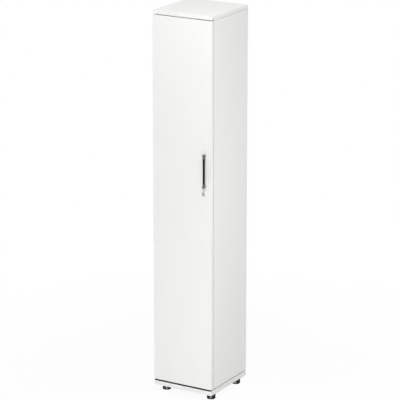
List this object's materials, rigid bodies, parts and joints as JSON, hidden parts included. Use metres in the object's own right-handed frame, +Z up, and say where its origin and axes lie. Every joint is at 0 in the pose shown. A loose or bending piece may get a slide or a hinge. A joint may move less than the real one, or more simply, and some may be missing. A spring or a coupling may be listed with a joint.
{
  "type": "office cupboard",
  "caption": "Tall slim white office cupboard with a full-height hinged door, bar handle, cam lock, inside shelves on pins and round levelling feet.",
  "frame": {"origin": "on the floor, under the middle of the box that the shut cupboard and its handle fill", "axes": "+Z up along the cupboard's height, -Y out of the door, +X to the right as seen from in front"},
  "size_m": [0.34, 0.3836, 2],
  "materials": {
    "white_board": "white melamine-faced chipboard with white edge banding, satin",
    "back_board": "white lacquered fibreboard, matt",
    "dark_metal": "near-black lacquered steel bar, satin",
    "nickel": "nickel-plated steel and zinc casting, satin",
    "zinc": "bright zinc-plated steel",
    "black_plastic": "black moulded plastic, half gloss"
  },
  "bodies": {
    "carcass": {"top_panel": "white_board", "bottom_panel": "white_board", "left_side_panel": "white_board", "right_side_panel": "white_board", "back_panel": "back_board", "shelf_1": "white_board", "shelf_2": "white_board", "shelf_3": "white_board", "shelf_4": "white_board", "shelf_pin_1_left_front": "zinc", "shelf_pin_1_left_back": "zinc", "shelf_pin_1_right_front": "zinc", "shelf_pin_1_right_back": "zinc", "shelf_pin_2_left_front": "zinc", "shelf_pin_2_left_back": "zinc", "shelf_pin_2_right_front": "zinc", "shelf_pin_2_right_back": "zinc", "shelf_pin_3_left_front": "zinc", "shelf_pin_3_left_back": "zinc", "shelf_pin_3_right_front": "zinc", "shelf_pin_3_right_back": "zinc", "shelf_pin_4_left_front": "zinc", "shelf_pin_4_left_back": "zinc", "shelf_pin_4_right_front": "zinc", "shelf_pin_4_right_back": "zinc", "hinge_arm_1": "nickel", "hinge_arm_2": "nickel", "hinge_arm_3": "nickel", "hinge_arm_4": "nickel", "lock_strike": "zinc", "strike_screw_lower": "zinc", "strike_screw_upper": "zinc", "foot_mount_front_left": "black_plastic", "foot_mount_front_right": "black_plastic", "foot_mount_back_left": "black_plastic", "foot_mount_back_right": "black_plastic"},
    "door": {"door_panel": "white_board", "hinge_cup_1": "nickel", "hinge_cup_2": "nickel", "hinge_cup_3": "nickel", "hinge_cup_4": "nickel", "hinge_pin_1": "zinc", "hinge_pin_2": "zinc", "hinge_pin_3": "zinc", "hinge_pin_4": "zinc", "handle_bar": "dark_metal", "handle_post_lower": "nickel", "handle_post_upper": "nickel", "handle_screw_lower": "zinc", "handle_screw_upper": "zinc", "lock_housing": "nickel", "lock_nut": "zinc"},
    "lock": {"lock_plug": "nickel", "lock_cam": "zinc", "lock_cam_screw": "zinc"},
    "leveller_front_left": {"foot_front_left": "black_plastic"},
    "leveller_front_right": {"foot_front_right": "black_plastic"},
    "leveller_back_left": {"foot_back_left": "black_plastic"},
    "leveller_back_right": {"foot_back_right": "black_plastic"}
  },
  "joints": [
    {"name": "door_swing", "type": "hinge", "parent": "carcass", "child": "door", "pos_m": [-0.1625, -0.15375, 1.02225], "axis": [0, 0, -1], "range_deg": [0, 95]},
    {"name": "lock_turn", "type": "hinge", "parent": "door", "child": "lock", "pos_m": [0.123, -0.16325, 1.098], "axis": [0, -1, 0], "range_deg": [0, 90]},
    {"name": "front_left_level", "type": "slide", "parent": "carcass", "child": "leveller_front_left", "axis": [0, 0, -1], "range_m": [0, 0.01]},
    {"name": "front_right_level", "type": "slide", "parent": "carcass", "child": "leveller_front_right", "axis": [0, 0, -1], "range_m": [0, 0.01]},
    {"name": "back_left_level", "type": "slide", "parent": "carcass", "child": "leveller_back_left", "axis": [0, 0, -1], "range_m": [0, 0.01]},
    {"name": "back_right_level", "type": "slide", "parent": "carcass", "child": "leveller_back_right", "axis": [0, 0, -1], "range_m": [0, 0.01]}
  ]
}
